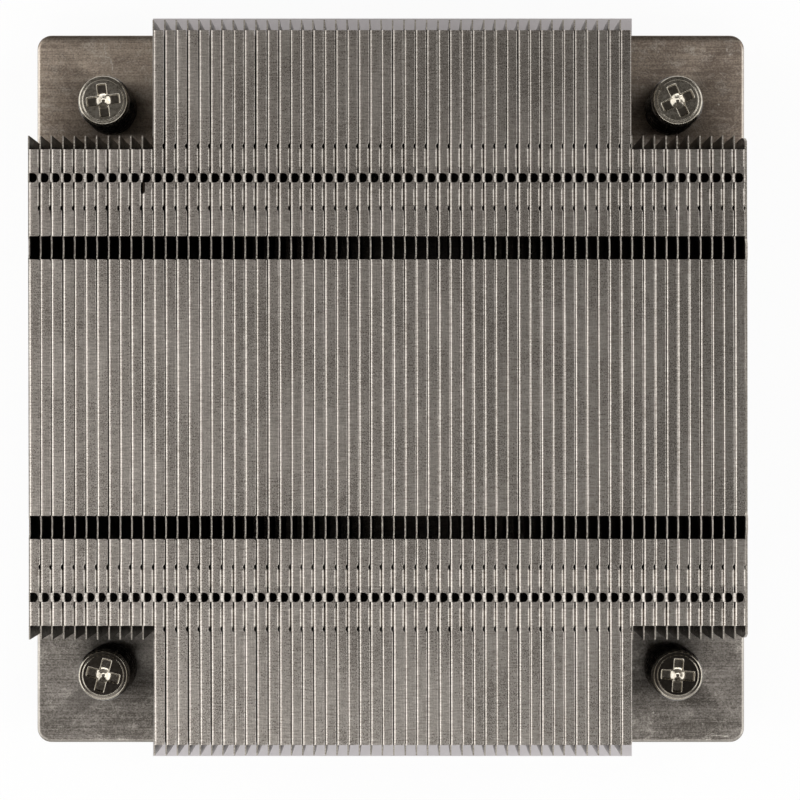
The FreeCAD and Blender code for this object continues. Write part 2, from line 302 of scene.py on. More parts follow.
# The sheared edge of the sheet: brighter and rougher than the plating, with streaks through its thickness
def shearedEdge():
    material, tree = newMaterial("sheared_sheet_edge")
    streak = grain(tree, (0.3, 0.12, 0.5), detail=2)
    tone = sumOfGrains(tree, [(streak, 0, 1)])
    colour = layColours(tree, "878178", [(tone, "c6c0b6")])
    finishMetal(tree, colour, sumOfGrains(tree, [(streak, 0.32, 0.5)]))
    return material


# Where the lines across a fin stand, along Y: close together round each cut and sparse between them
def finLines(webEnd, flangeEnd, tabEnd):
    f = fins
    cut = 0.01
    easing = f["cornerRound"] * (1 - np.cos(np.linspace(0, np.pi / 2, 4)))
    dip = np.linspace(0, f["notch"], 7)
    slotStart = f["slotPlace"] - f["slotWidth"] / 2
    slotEnd = f["slotPlace"] + f["slotWidth"] / 2
    lock = f["lockHalf"] * np.sin(np.linspace(0, np.pi / 2, 6))
    slit = np.linspace(f["neckHalf"] + cut, f["slitEnd"] - cut, 5)
    lock = np.concatenate([lock, [f["neckHalf"]], slit, [f["slitEnd"]]])
    inSlot = f["slotPlace"] + np.array([-0.8, 0, 0.8])
    runs = [np.linspace(0, slotStart - 0.6, 6), slotStart - easing, inSlot, slotEnd + easing, [21.3]]
    runs += [f["tabStart"] - cut - dip, [f["tabStart"], 24.7], f["lockPlace"] - lock, f["lockPlace"] + lock]
    runs += [[29.5, tabEnd]]
    if flangeEnd > tabEnd:
        runs += [tabEnd + cut + dip, np.linspace(tabEnd + 2, flangeEnd - 1, 5), flangeEnd - easing]
    half = np.unique(np.round(np.concatenate(runs + [[webEnd]]), 5))
    return np.concatenate([-half[:0:-1], half])


# What becomes of the free edge at each line: 0 it stays straight, 1 it is a lip, bent down, 2 it is a lug
def edgeKinds(y, tabEnd):
    f = fins
    along = np.abs(y)
    fromLock = np.abs(along - f["lockPlace"])
    lip = (along >= f["tabStart"] - tiny) & (along <= tabEnd + tiny) & (fromLock >= f["slitEnd"] - tiny)
    return np.where(fromLock <= f["neckHalf"] + tiny, 2, np.where(lip, 1, 0))


# The outer face of one folded fin, as points of rows (round the profile) and columns (along Y), in mm from
# its foot. The profile goes along the foot flange, round a quarter circle, up the web, round a quarter circle
# and along the top flange. There its last rows run straight, follow an arc down into a lip, or follow a wider
# arc down into a lug.
def finPoints(y, height, flangeEnd, tabEnd, random):
    f = fins
    along = np.abs(y)
    fromLock = np.abs(along - f["lockPlace"])
    kind = edgeKinds(y, tabEnd)

    foot = np.radians(np.linspace(90, 0, 5))
    top = np.radians([0, 15, 30, 45, 60, 75, 90])
    footRows = [(f["flangeEdge"] - 0.05, 0)]
    footRows += [(f["footFold"] * (1 - math.cos(a)), f["footFold"] * (1 - math.sin(a))) for a in foot]
    webRows = [(0, 0.45 * height), (0, height - f["endRoundHeight"]), (0, height - 2.5), (0, height - 0.8)]
    topRows = [(f["topFold"] * (1 - math.cos(a)), height - f["topFold"] * (1 - math.sin(a))) for a in top]
    fixed = np.array(footRows + webRows + topRows)
    x = np.repeat(fixed[:, :1], len(y), axis=1)
    z = np.repeat(fixed[:, 1:], len(y), axis=1)

    # in a slot the top of the web leans in by a share of slotLean that grows with the square of the way from
    # its middle
    slotAcross = (along - f["slotPlace"]) / (f["slotWidth"] / 2)
    bend = len(footRows) + len(webRows)
    x[bend] += np.where(np.abs(slotAcross) < 1, f["slotShift"] + f["slotLean"] * slotAcross ** 2, 0)

    # the opening's end is the half ellipse x = centre + reach * sqrt(1 - (dy / half)^2)
    inside = np.clip(1 - (fromLock / f["lockHalf"]) ** 2, 0, 1)
    openingEnd = f["lockCentre"] + f["lockReach"] * np.sqrt(inside)
    hole = np.where(fromLock <= f["lockHalf"] + tiny, openingEnd, f["flangeRow"])
    x = np.vstack([x, hole, np.maximum(hole + 0.02, 0.96), np.maximum(hole + 0.04, f["lipStart"])])

    # the straight edge: rounded corners at its stops, a dip like half a wave in each notch, cut back beside
    # the lugs
    stops = [f["slotPlace"] - f["slotWidth"] / 2, f["slotPlace"] + f["slotWidth"] / 2]
    stops += [flangeEnd] if flangeEnd > tabEnd else []
    fromStop = np.abs(along[None] - np.array(stops)[:, None]).min(axis=0)
    inner = np.clip(f["cornerRound"] - fromStop, 0, None)
    edge = f["flangeEdge"] - f["cornerRound"] + np.sqrt(f["cornerRound"] ** 2 - inner ** 2)
    edge = edge + np.clip(random.normal(0, f["edgeSpread"]), *f["edgeLimits"])
    edge = edge + f["edgeWave"] * np.sin(y / random.uniform(4, 9) + random.uniform(0, 6))
    edge = edge - f["taper"] * np.clip(along / f["tabStart"], 0, 1) ** 2
    for start in (f["tabStart"] - f["notch"], tabEnd):
        share = np.clip((along - start) / f["notch"], 0, 1)
        edge = edge - f["notchDepth"] * np.sin(np.pi * share) ** 0.7
    beside = (fromLock > f["neckHalf"]) & (fromLock < f["slitEnd"])
    share = np.clip((fromLock - f["neckHalf"]) / (f["slitEnd"] - f["neckHalf"]), 0, 1)
    edge = np.where(beside, f["slitEdge"] + 0.05 * np.cos(np.pi * share) ** 2, edge)

    step, drop = np.array(f["roll"])[:, :, None]
    plainX = f["lipStart"] + (edge - f["lipStart"]) * step
    plainZ = drop * np.ones(len(y))
    lipTurn = np.radians(f["lipTurn"])[:, None]
    lipX = f["lipStart"] + f["lipRound"] * np.sin(lipTurn) * np.ones(len(y))
    lipZ = f["lipRound"] * (1 - np.cos(lipTurn)) + f["lipDepth"] * (step == 1)
    across = np.clip(fromLock / f["neckHalf"], 0, 1)
    curves = np.array(f["lugCurves"])
    lugX, lugZ = np.where(y > 0, curves[0][:, :, None], curves[1][:, :, None])
    lugX = lugX + np.where(y > 0, *f["lugStart"]) + 0.08 * across ** 2
    tailX = np.where(kind == 2, lugX, np.where(kind == 1, lipX, plainX))
    tailDrop = np.where(kind == 2, lugZ, np.where(kind == 1, lipZ, plainZ))

    x = np.vstack([x, tailX])
    z = np.vstack([z, np.full((3, len(y)), height), height - tailDrop])
    allY = np.repeat(y[None], len(x), axis=0)
    pinched = np.sign(y) * f["lockPlace"] + (y - np.sign(y) * f["lockPlace"]) * f["lugHalf"] / f["neckHalf"]
    allY[-5:] = np.where(kind == 2, pinched, allY[-5:])

    tilt = np.clip(random.normal(0, f["tiltSpread"]), -f["tiltLimit"], f["tiltLimit"])
    lean = np.clip(random.normal(0, f["leanSpread"]), -f["leanLimit"], f["leanLimit"])
    sway = f["sway"] * np.sin(allY / random.uniform(9, 16) + random.uniform(0, 6))
    x, z = x + (lean + sway) * (z / height) ** 2, z - tilt * np.clip(x - f["topFold"], 0, 1)
    x = x + f["skew"] * allY
    return np.stack([x, allY, np.clip(z, 0, height)], axis=-1), bend


# The faces of a fin that its cuts leave: the slots and openings go from the top of the web on, and where the
# edge goes over from one kind to another it is cut from the start of the lip on
def finFaces(y, rows, bend, flangeEnd, tabEnd):
    f = fins
    middle = np.abs((y[1:] + y[:-1]) / 2)
    kind = edgeKinds(y, tabEnd)
    slot = np.abs(middle - f["slotPlace"]) < f["slotWidth"] / 2
    opening = np.abs(middle - f["lockPlace"]) < f["lockHalf"]
    row = np.arange(rows - 1)[:, None]
    flange = bend + 6
    kept = np.ones((rows - 1, len(middle)), bool)
    kept &= ~((slot | (middle > flangeEnd)) & (row >= bend))
    kept &= ~(opening & (row >= bend) & (row <= flange))
    kept &= ~((kind[1:] != kind[:-1]) & (row >= flange + 3))
    return gridFaces(rows, len(y))[kept]


# All fins, each with draws of its own. Neighbours that share a node become one mesh, and the sheet gets its
# thickness from the outer face inwards.
def makeFins():
    low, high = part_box("fins_long_01")
    pitch = (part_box("fins_long_02")[0].x - low.x) / 2
    height = (high.z - low.z) / mm
    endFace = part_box("fin_end")[0].x - 0.04 * mm   # just before the end sheet
    nickel, edge = nickelSheet(pitch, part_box("fin_first")[0].x - 0.1 * mm), shearedEdge()
    for node in sorted(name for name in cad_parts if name.startswith("fin")):
        low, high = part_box(node)
        end = node == "fin_end"
        webEnd = high.y / mm
        long = node.startswith("fins_long")
        flangeEnd = webEnd - fins["longSetback" if long else "shortSetback"]
        tabEnd = fins["tabEnd"] if long else flangeEnd
        y = finLines(webEnd, flangeEnd, tabEnd)
        points, faces = [], []
        for number in range(2 if high.x - low.x > 1.5 * pitch else 1):
            random = np.random.default_rng(fins["seed"] + round((low.x + number * pitch) / pitch) + 100)
            grid, bend = finPoints(y, height, flangeEnd, tabEnd, random)
            surface = finFaces(y, len(grid), bend, flangeEnd, tabEnd)
            x = (low.x + number * pitch) * (1 - fins["stackShrink"]) + fins["stackShift"] * mm
            if end:   # an upright sheet, cut off below the fold, with eased top corners
                upper = np.clip(1 - (height - grid[..., 2]) / fins["endRoundHeight"], 0, 1)
                grid[..., 1] *= 1 - fins["endRound"] / webEnd * upper ** 2
                surface = surface[surface.max(axis=1) < (bend + 1) * len(y)]
                surface = surface[surface.min(axis=1) >= 5 * len(y)]
            else:     # nothing passes the end sheet
                grid[..., 0] = np.minimum(grid[..., 0], (endFace - x) / mm)
            faces.append(surface + sum(len(fin) for fin in points))
            points.append(grid.reshape(-1, 3) * mm + (x, 0, low.z))
        newPiece(node + "_folded", np.concatenate(points), faces, [nickel, edge], "heat_sink", [node],
                 sheet=fins["endSheet" if end else "sheet"] * mm)
    print("fins done")


makeFins()


# Base plate: a flat block with rounded corners, a soft sloping edge on top, and four stepped screw holes

plate = {
    "cornerRound": 1.9,     # mm
    "cornerSteps": 10,
    "holeSteps": 48,
    # edges of the block as inset from its outline and height, from the flat top down to the flat underside
    "edge": [(0.46, 0), (0.4, -0.005), (0.33, -0.018), (0.26, -0.039), (0.2, -0.065), (0.14, -0.1),
             (0.08, -0.148), (0.035, -0.2), (0.01, -0.26), (0, -0.34)],
    # a bent scratch at the back and scuffs in two other corners, as places and half axes on the plate
    "scuffs": [((-38.5, 45.9), (0.07, 0.5)), ((-38.3, 45.0), (0.07, 0.5)), ((-37.95, 44.5), (0.22, 0.1)),
               ((-37.6, 44.0), (0.09, 0.35)), ((-37.4, 43.2), (0.08, 0.55)), ((43.9, -46.6), (0.9, 0.07)),
               ((45.0, -46.7), (0.5, 0.09)), ((45.7, 44.9), (0.2, 0.16)), ((45.2, 45.6), (0.1, 0.3))],
    "underEdge": [(0, 0.3), (0.06, 0.14), (0.14, 0.06), (0.3, 0)],
    "holeRadius": 2.25,
    "seatRadius": 3.75,     # the seat of a retaining ring, from below
    "seatDepth": 0.8,
}


# Nickel-plated copper, brushed along X before plating: fine parallel lines, specks, a tone that goes from
# brown at the back to grey in front, painted shade that darkens it towards the right, mostly at the back,
# thin random scratches, small bright dents from handling, a pale haze of fine wear, rounded and smoother
# edges with a painted highlight along them that fades out at the back, and a painted shade line along the
# back edge
def brushedPlate():
    material, tree = newMaterial("brushed_nickel_plate")
    brushed = grain(tree, (7, 0.13, 9), detail=2, roughness=0.65)
    coarse = grain(tree, (12, 0.5, 14), detail=2, roughness=0.6)
    blotch = grain(tree, (6, 5, 9), detail=4, roughness=0.65)
    speck = grain(tree, (0.22, 0.2, 0.22), detail=2, roughness=0.6)
    scuff = grain(tree, (2.4, 3.2, 2.4), detail=4, roughness=0.7)
    grains = [(blotch, 0.15, 0.65), (brushed, -0.3, 0.3), (coarse, -0.12, 0.12), (speck, -0.42, 0.42)]
    tone = sumOfGrains(tree, grains)

    place = addNode(tree, "TexCoord", output="Object")
    x, y = [addNode(tree, "SeparateXYZ", [place], axis) for axis in "XY"]
    front = addNode(tree, "MapRange", [y, 0.02, -0.02, 0, 1])
    # painted shade: darker towards the right, mostly at the back
    side = addNode(tree, "MapRange", [x, -0.045, 0.045, 0.06, -0.14])
    sideShadeShare = addNode(tree, "MapRange", [front, 0, 1, 1, 0.2])
    tone = addNode(tree, "Math", [side, sideShadeShare, tone], operation="MULTIPLY_ADD")
    dark = layColours(tree, "82756a", [(front, "59544e")])
    light = layColours(tree, "bcae9e", [(front, "98928c")])

    marks = 0
    # scratches: the borders between long cells, in some places only
    for turn, spacing in ((0.35, 1.1), (1.25, 1.7), (-0.5, 2.3)):
        space = patternSpace(tree, (9, spacing * 0.35, 9), turn)
        away = addNode(tree, "TexVoronoi", {"Vector": space, "Scale": 1, "Randomness": 1}, "Distance",
                       feature="DISTANCE_TO_EDGE")
        line = addNode(tree, "MapRange", [away, 0, 0.012, 0.5, 0])
        where = addNode(tree, "MapRange", [grain(tree, (5, 4, 5), detail=1, turn=turn), 0.52, 0.62, 0, 1])
        line = addNode(tree, "Math", [line, where], operation="MULTIPLY")
        marks = addNode(tree, "Math", [marks, line], operation="MAXIMUM")
    space = patternSpace(tree, (1.2, 1.2, 1.2))
    fromDent = addNode(tree, "TexVoronoi", {"Vector": space, "Scale": 1}, "Distance")
    haze = grain(tree, (2.6, 2.1, 2.6), detail=4, roughness=0.7)
    for pairs in (
        [(fromDent, 0.06, 0.14, 0.8, 0), (scuff, 0.5, 0.62, 0, 1)],   # dents
        [(spots(tree, plate["scuffs"], 0.6), 0, 1, 0, 1), (speck, 0.4, 0.6, 0.2, 0.8)],   # scuffs
        [(haze, 0.52, 0.68, 0, 0.42), (speck, 0.4, 0.6, 0.25, 1), (x, -0.05, 0.05, 0.8, 1.2)],   # haze
    ):
        kind = 1
        for pair in pairs:
            share = addNode(tree, "MapRange", pair)
            kind = addNode(tree, "Math", [kind, share], operation="MULTIPLY")
        marks = addNode(tree, "Math", [marks, kind], operation="MAXIMUM")

    normal = addNode(tree, "NewGeometry", output="Normal")
    toBack, up = [addNode(tree, "SeparateXYZ", [normal], axis) for axis in "YZ"]
    # painted highlight along the rounded edges, fading out towards the back edge; the edges are smoother
    # there too
    edgeHighlight = addNode(tree, "MapRange", [up, 0.995, 0.9, 0, 0.46])
    for source in ([up, 0.1, 0.5, 0.15, 1], [toBack, 0.02, 0.15, 1, 0]):
        share = addNode(tree, "MapRange", source)
        edgeHighlight = addNode(tree, "Math", [edgeHighlight, share], operation="MULTIPLY")
    # painted shade: a dark line along the top of the back edge
    backEdgeShade = addNode(tree, "MapRange", [y, 0.0464, 0.0471, 0, 0.55])
    onTop = addNode(tree, "MapRange", [up, 0.3, 0.6, 0, 1])
    backEdgeShade = addNode(tree, "Math", [backEdgeShade, onTop], operation="MULTIPLY")
    layers = [(tone, light), (marks, "d8d2c8"), (edgeHighlight, "efe9df"), (backEdgeShade, "2b2722")]

    rough = sumOfGrains(tree, [(brushed, 0.42, 0.52), (scuff, -0.04, 0.08)])
    rough = addNode(tree, "Math", [edgeHighlight, -0.12, rough], operation="MULTIPLY_ADD")
    height = addNode(tree, "Math", [marks, -0.5, brushed], operation="MULTIPLY_ADD")
    finishMetal(tree, layColours(tree, dark, layers), rough, height, 0.4)
    return material


# The plate's outline at an inset: four quarter circles joined by straight sides
def plateOutline(half, inset):
    turn = np.linspace(0, np.pi / 2, plate["cornerSteps"] + 1)
    radius = plate["cornerRound"] - inset
    centre = half - plate["cornerRound"]
    turns = np.concatenate([turn + quarter * np.pi / 2 for quarter in range(4)])
    signs = np.repeat([(1, 1), (-1, 1), (-1, -1), (1, -1)], len(turn), axis=0)
    return signs * centre + radius * np.stack([np.cos(turns), np.sin(turns)], axis=1)


# The triangles of a flat face that has round holes, from the flat points of its outline and its holes
def facesWithHoles(outline, holes, centres):
    points = np.concatenate([outline] + holes)
    edges, start = [], 0
    for loop in [outline] + holes:
        index = np.arange(len(loop))
        edges += np.stack([start + index, start + (index + 1) % len(loop)], axis=1).tolist()
        start += len(loop)
    triangles = np.array(delaunay_2d_cdt([Vector(p) for p in points], edges, [], 0, 1e-7)[2])
    middle = points[triangles].mean(axis=1)
    away = np.linalg.norm(middle[:, None] - np.array(centres)[None], axis=2).min(axis=1)
    radius = np.linalg.norm(holes[0][0] - np.array(centres[0]))
    return triangles[away > radius * 0.995]


# The plate: its outline carried down from the top to the underside, the walls of its holes, and the two flat
# faces that close it
def makePlate():
    low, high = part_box("base_plate")
    half, top = high.x / mm, high.z / mm
    levels = [(inset, top + z) for inset, z in plate["edge"]] + plate["underEdge"]
    around, aroundHole = 4 * (plate["cornerSteps"] + 1), plate["holeSteps"]
    rings = [atHeight(plateOutline(half, inset), z) for inset, z in levels]
    boxes = [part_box("screw_" + corner) for corner in corners]
    centres = [((low.x + high.x) / 2 / mm, (low.y + high.y) / 2 / mm) for low, high in boxes]
    angle = np.linspace(0, 2 * np.pi, aroundHole, endpoint=False)
    circle = np.stack([np.cos(angle), np.sin(angle)], axis=1)
    bore, seat, depth = plate["holeRadius"], plate["seatRadius"], plate["seatDepth"]
    wall = [(bore + 0.1, top), (bore + 0.03, top - 0.03), (bore, top - 0.1), (bore, depth), (seat, depth),
            (seat, 0.05), (seat + 0.05, 0)]
    points = rings[:]
    faces = [gridFaces(len(rings), around, closed=True).reshape(-1, 4)]
    count = around * len(rings)
    starts = []
    for centre in centres:
        points += [atHeight(circle * r + centre, z) for r, z in wall]
        faces.append(gridFaces(len(wall), aroundHole, closed=True).reshape(-1, 4)[:, ::-1] + count)
        starts.append(count)
        count += aroundHole * len(wall)
    points = np.concatenate(points)
    # the top, and the underside, whose triangles turn the other way
    for ringStart, holeRow, order in ((0, 0, 1), ((len(rings) - 1) * around, len(wall) - 1, -1)):
        holeIndex = [np.arange(aroundHole) + start + holeRow * aroundHole for start in starts]
        index = np.concatenate([np.arange(around) + ringStart] + holeIndex)
        flat = points[index][:, :2]
        holes = np.split(flat[around:], len(starts))
        faces.append(index[facesWithHoles(flat[:around], holes, centres)][:, ::order])
    brushed = brushedPlate()
    newPiece("base_plate_brushed", points * mm, faces, [brushed], "heat_sink", ["base_plate"])
    print("plate done")


makePlate()


# Screws: pan head with a cross recess, smooth shank, neck and rolled thread

screw = {
    "crossSpan": 2.16,      # mm, half of the recess from tip to tip
    "crossArm": 0.6,        # half width of an arm at the top
    # depth of the recess over the way from the axis
    "recess": [(0, -0.9), (0.2, -0.9), (0.3, -0.868), (0.4, -0.817), (0.52, -0.757), (0.6, -0.717),
               (0.7, -0.668), (0.8, -0.62), (0.9, -0.578), (1.0, -0.562), (1.1, -0.56), (1.3, -0.557),
               (2.1, -0.55)],
    "coneRings": (0.05, 0.12, 0.2, 0.3, 0.4),   # where its rings of points stand, round and then as crosses
    "wingRings": (0.52, 0.6, 0.7, 0.8, 0.9, 1.0, 1.1, 1.3, 1.7, 2.0),
    # its wall and eased edge, as growth of the cross and level
    "wall": [(-0.1, -0.4), (-0.06, -0.18), (-0.01, -0.045), (0.03, -0.012), (0.07, 0.0), (0.1, 0.0)],
    # the head's top from its flat face over its rounded and sloping rim, as radius and level
    "head": [(2.45, 0.0), (2.6, 0.0), (2.635, -0.008), (2.665, -0.028), (2.69, -0.056), (2.715, -0.08),
             (2.745, -0.094), (2.79, -0.1), (3.02, -0.112), (3.09, -0.128), (3.14, -0.158), (3.185, -0.21),
             (3.22, -0.29), (3.24, -0.4), (3.25, -0.6)],
    "headRadius": 3.25,
    "shankRadius": 2.0,
    "neckRadius": 1.15,
    "threadRadius": 1.5,
    "threadPitch": 0.5,
    "threadDepth": 0.27,
    "turns": {"back_left": 7, "back_right": 25, "front_left": -15, "front_right": -4},   # degrees
    "polish": {"back_left": 0.3, "back_right": 0.35, "front_left": 0.95, "front_right": 1.0},
    "wing": 0.62,           # shade in the wings of the recess
    "shade": {"back_left": 0.5, "back_right": 0.5, "front_left": 0.85, "front_right": 0.9},
}


# Bright zinc plating on a steel screw: glossy where it is clean, with a mottled film; the shade stored at its
# points is painted shade on the head's flat face and in the recess wings, so that its edges look brighter
def zincPlating():
    material, tree = newMaterial("zinc_plated_steel")
    polish = addNode(tree, "Attribute", output="Fac", attribute_name="polish")
    shade = addNode(tree, "Attribute", output="Fac", attribute_name="shade")
    film = grain(tree, (0.35, 0.35, 0.35), detail=3, roughness=0.6)
    speck = grain(tree, (0.12, 0.12, 0.12), detail=1)
    speckTone = addNode(tree, "MapRange", [speck, 0.35, 0.7, -0.2, 0.2])
    tone = addNode(tree, "Math", [sumOfGrains(tree, [(film, 0, 0.8)]), speckTone], operation="ADD")
    # painted shade where the shade attribute is set
    colour = layColours(tree, "a8a193", [(tone, "cfc9bd"), (shade, "3a3531")])
    gloss = addNode(tree, "MapRange", [polish, 0, 1, 0.34, 0.12])
    rough = addNode(tree, "Math", [gloss, sumOfGrains(tree, [(film, -0.03, 0.06)])], operation="ADD")
    finishMetal(tree, colour, rough, film, 0.25)
    return material


# The outline of a cross as points in order round it: each quarter goes from one arm's tip along its flank to
# the inner corner and out along the next arm's flank
def crossRing(span, arm, roundness=0.05):
    flank = np.linspace(0, 1, 9)[1:]
    half = [(span, 0), (span, arm * 0.6), (span - roundness, arm - roundness * 0.4)]
    half += [(span - (span - arm) * u, arm) for u in flank]
    half = np.array(half)
    mirrored = half[-2:0:-1, ::-1]
    quarter = np.concatenate([half, mirrored])
    quarterTurn = np.array([[0, -1], [1, 0]])
    return np.concatenate([quarter @ np.linalg.matrix_power(quarterTurn, number).T for number in range(4)])


# A screw on its own axis, with the top of its head at zero: rings of points from the middle of the recess
# outwards, over the head and down to the tip. The recess has shallow wings round a steep cone with a flatter
# bottom, its depth read from a curve over the way from the axis. On the thread each ring's radius follows a
# wave that climbs one pitch in a turn.
def screwPoints(shankEnd, neckEnd, tip):
    s = screw
    outline = crossRing(s["crossSpan"], s["crossArm"])
    angle = np.arctan2(outline[:, 1], outline[:, 0])
    circle = np.stack([np.cos(angle), np.sin(angle)], axis=1)
    curveAt, curveDepth = np.array(s["recess"]).T
    rings = []
    for reach in s["coneRings"]:
        rings.append(atHeight(circle * reach, np.interp(reach, curveAt, curveDepth)))
    for span in s["wingRings"]:
        cross = crossRing(span, 0.37 + 0.07 * span)
        rings.append(atHeight(cross, np.interp(np.hypot(cross[:, 0], cross[:, 1]), curveAt, curveDepth)))
    for grow, level in s["wall"]:
        rings.append(atHeight(crossRing(s["crossSpan"] + grow, s["crossArm"] + grow), level))
    head, shank, neck, under = s["headRadius"], s["shankRadius"], s["neckRadius"], -headHeight
    profile = s["head"] + [(head, under + 0.12), (head - 0.03, under + 0.04), (head - 0.11, under)]
    profile += [(shank + 0.06, under), (shank, under - 0.06), (shank, shankEnd + 0.08)]
    profile += [(shank - 0.06, shankEnd), (neck, shankEnd), (neck, neckEnd), (neck + 0.13, neckEnd - 0.005)]
    rings += [atHeight(circle * radius, level) for radius, level in profile]
    thread = np.arange(neckEnd - 0.02, tip + 0.01, -s["threadPitch"] / 6)
    for level in thread:
        wave = 0.5 - 0.5 * np.cos(2 * np.pi * (level / s["threadPitch"] - angle / (2 * np.pi)))
        fade = min((neckEnd - level) / 0.4, (level - tip) / 0.4, 1)
        radius = s["threadRadius"] - s["threadDepth"] * (wave * fade + (1 - fade) * 0.8)
        rings.append(atHeight(circle * radius[:, None], level))
    rings += [atHeight(circle * radius, tip) for radius in (1.1, 0.3)]
    return np.stack(rings)


# The four screws, each turned its own way, with their polish and shade stored at the points
def makeScrews():
    zinc = zincPlating()
    for corner in corners:
        low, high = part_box("screw_" + corner)
        ringLow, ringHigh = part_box("ring_" + corner)
        levels = [ringHigh.z + 0.1 * mm, ringLow.z, low.z]   # end of the shank, end of the neck, tip
        grid = screwPoints(*[(level - high.z) / mm for level in levels])
        turn = math.radians(screw["turns"][corner])
        x, y = grid[..., 0].copy(), grid[..., 1].copy()
        grid[..., 0] = x * math.cos(turn) - y * math.sin(turn)
        grid[..., 1] = x * math.sin(turn) + y * math.cos(turn)
        faces = tubeFaces(*grid.shape[:2], inward=True)
        place = np.array([(low.x + high.x) / 2, (low.y + high.y) / 2, high.z])
        piece = newPiece(f"screw_{corner}_head_and_thread", grid.reshape(-1, 3) * mm + place, faces, [zinc],
                         "fastener_" + corner, ["screw_" + corner], smoothAngle=50)
        points = np.empty(len(piece.data.vertices) * 3, np.float32)
        piece.data.vertices.foreach_get("co", points)
        away = np.hypot(points[0::3] - place[0], points[1::3] - place[1]) / mm
        level = (points[2::3] - high.z) / mm
        # the flat face and the step round it get each screw's own polish and painted shade, darkest on the
        # front screws as a painted dark reflection, and the wings of the recess get painted shade
        onFace = (level > -0.0025) | ((level > -0.13) & (away > 2.74) & (away < 3.06))
        inWing = (level > -0.6) & (level < -0.3) & (away > 1.05) & (away < 2.3)
        polish = np.where(onFace, screw["polish"][corner], 0.85)
        shade = np.where(inWing, screw["wing"], np.where(onFace, screw["shade"][corner], 0))
        for name, values in (("polish", polish), ("shade", shade)):
            attribute = piece.data.attributes.new(name, "FLOAT", "POINT")
            attribute.data.foreach_set("value", values.astype(np.float32))
    print("screws done")


makeScrews()


# Springs and retaining rings: hardened steel, blackened by its heat treatment

spring = {
    "turns": 6,
    "wire": 0.9,            # mm
    "diameter": 7.0,
    "steps": 36,            # points along a turn and round the wire
    "sides": 12,
    "ease": 0.3,            # share of the rise that starts and ends slowly
    "pressedLength": 10.1,
}
snapRing = {
    "bore": 1.2,            # mm, inner radius at the prongs
    "relief": 1.62,         # and between them
    "diameter": 6.3,
    "mouth": 2.2,
    "mouthRadius": 1.3,     # where the mouth is that wide inside
    "edge": 0.06,
    "steps": 61,
}


# Dark spring steel: an oily blue-black oxide, smooth, with fine drawing lines
def springSteel():
    material, tree = newMaterial("oiled_spring_steel")
    drawn = grain(tree, (0.5, 0.5, 0.12), detail=2)
    tone = sumOfGrains(tree, [(drawn, 0, 1)])
    colour = layColours(tree, "3f3c39", [(tone, "6a6661")])
    finishMetal(tree, colour, sumOfGrains(tree, [(drawn, 0.22, 0.34)]))
    return material


# A coil of round wire: its centre climbs slowly through a closed turn at each end, faster between, and a
# circle is carried along it. What would pass its two end planes is ground flat.
def springPoints(low, high):
    s = spring
    turn = np.linspace(0, s["turns"], s["turns"] * s["steps"] + 1)[:, None]
    bottom, top = low + s["wire"] / 2, high - s["wire"] / 2
    closedRise = s["wire"]
    openRise = top - bottom - 2 * closedRise
    middle = np.clip((turn - 1) / (s["turns"] - 2), 0, 1)
    rise = closedRise * np.clip(turn, 0, 1) + closedRise * np.clip(turn - s["turns"] + 1, 0, 1)
    eased = s["ease"] * middle * middle * (3 - 2 * middle)
    rise = rise + openRise * (middle * (1 - s["ease"]) + eased)
    around = 2 * np.pi * turn
    side = 2 * np.pi * np.arange(s["sides"])[None] / s["sides"]
    radius = (s["diameter"] - s["wire"]) / 2 + s["wire"] / 2 * np.cos(side)
    z = bottom + rise + s["wire"] / 2 * np.sin(side)
    return np.stack([radius * np.cos(around), radius * np.sin(around), np.clip(z, low, high)], axis=-1)


# A snap ring: from one side of its mouth round to the other, its inner edge rests on the neck at three places
# and stands back between them. A small rectangle with eased corners is carried between the two edges.
def ringPoints(low, high):
    r = snapRing
    along = np.linspace(0, 1, r["steps"])[:, None]
    outerGap = math.asin(r["mouth"] / r["diameter"])
    innerGap = math.asin(r["mouth"] / 2 / r["mouthRadius"])
    outerAngle = -math.pi / 2 + outerGap + along * (2 * math.pi - 2 * outerGap)
    innerAngle = -math.pi / 2 + innerGap + along * (2 * math.pi - 2 * innerGap)
    prong = np.abs((along * 3) % 1.5 - 0.75) / 0.75   # 1 at the two ends and the middle
    innerRadius = r["relief"] - (r["relief"] - r["bore"]) * np.clip((prong - 0.55) / 0.25, 0, 1)
    inner = np.concatenate([np.cos(innerAngle) * innerRadius, np.sin(innerAngle) * innerRadius], axis=1)
    outer = np.concatenate([np.cos(outerAngle), np.sin(outerAngle)], axis=1) * r["diameter"] / 2
    e = r["edge"]
    section = [(e / 2, low), (1 - e / 2, low), (1, low + e), (1, high - e)]
    section += [(1 - e / 2, high), (e / 2, high), (0, high - e), (0, low + e)]
    lines = [atHeight(inner + (outer - inner) * share, level) for share, level in section]
    return np.stack(lines, axis=1)


# Each spring stands between plate and head, with a mesh of its own; each ring lies in its neck
def makeSpringsAndRings():
    steel = springSteel()
    for corner in corners:
        screwLow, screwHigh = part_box("screw_" + corner)
        centre = np.array([(screwLow.x + screwHigh.x) / 2, (screwLow.y + screwHigh.y) / 2, 0])
        headBase = screwHigh.z / mm - headHeight
        grid = springPoints(plateTop / mm + 0.01, headBase - 0.01)
        faces = tubeFaces(*grid.shape[:2])
        points = grid.reshape(-1, 3) * mm + centre
        coil = newPiece(f"spring_{corner}_coil", points, faces, [steel], "heat_sink",
                        ["spring_" + corner], smoothAngle=50)
        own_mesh(coil)

        low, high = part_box("ring_" + corner)
        grid = ringPoints(low.z / mm, high.z / mm)
        faces = tubeFaces(*grid.shape[:2])
        points = grid.reshape(-1, 3) * mm + centre
        newPiece(f"ring_{corner}_snap", points, faces, [steel], "retainer_" + corner,
                 ["ring_" + corner])
    print("springs and rings done")


makeSpringsAndRings()
